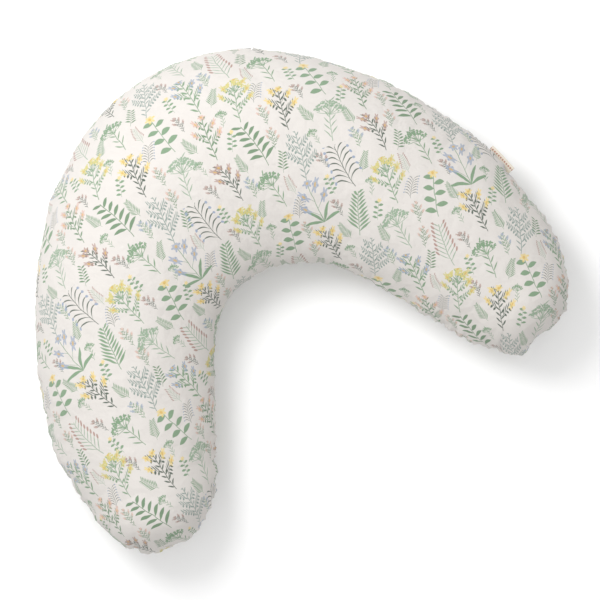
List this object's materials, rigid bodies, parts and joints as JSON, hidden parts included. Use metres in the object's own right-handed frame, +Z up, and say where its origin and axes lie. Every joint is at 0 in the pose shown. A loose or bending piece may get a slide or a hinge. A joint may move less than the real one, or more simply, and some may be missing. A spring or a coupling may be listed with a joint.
{
  "type": "nursing pillow",
  "caption": "C-shaped nursing pillow with a floral cotton slip cover, a coil zip round the back and a fibre-filled inner case.",
  "frame": {"origin": "middle of the footprint, on the surface that the pillow lies on", "axes": "+Z up, +Y towards the back of the C, so the waist hollow opens towards -Y, and +X across the two arms towards the side that bears the label"},
  "size_m": [0.7011, 0.5461, 0.16],
  "materials": {
    "printed_cotton": "plain-weave off-white cotton with a small meadow-flower print, soft and matt",
    "zip_tape": "ribbed woven polyester tape, off-white",
    "zip_coil": "off-white nylon monofilament coil, satin",
    "zip_metal": "die-cast zinc enamelled off-white, worn a little at the edges",
    "label_ribbon": "cream-blush woven ribbon, fine ribs",
    "care_satin": "white satin ribbon, smooth",
    "inner_cotton": "plain white cotton, matt",
    "fibre_filling": "loose white hollow fibre"
  },
  "bodies": {
    "pillow": {"cover_top_panel": "printed_cotton", "cover_bottom_panel": "printed_cotton", "zip_tape_upper": "zip_tape", "zip_tape_lower": "zip_tape", "zip_coil_upper": "zip_coil", "zip_coil_lower": "zip_coil", "zip_top_stops": "zip_metal", "zip_bottom_stop": "zip_metal", "brand_label": "label_ribbon", "care_label": "care_satin", "inner_case_top": "inner_cotton", "inner_case_bottom": "inner_cotton", "filling": "fibre_filling"},
    "slider": {"zip_slider": "zip_metal"},
    "pull": {"zip_pull_tab": "zip_metal"}
  },
  "joints": [
    {"name": "zip_travel", "type": "hinge", "parent": "pillow", "child": "slider", "pos_m": [0, 0.00803, 0.072], "axis": [0, 0, 1], "range_deg": [0, 60]},
    {"name": "pull_swing", "type": "hinge", "parent": "slider", "child": "pull", "pos_m": [0.13373, 0.23965, 0.072], "axis": [0, 0, 1], "range_deg": [-170, 0]}
  ]
}
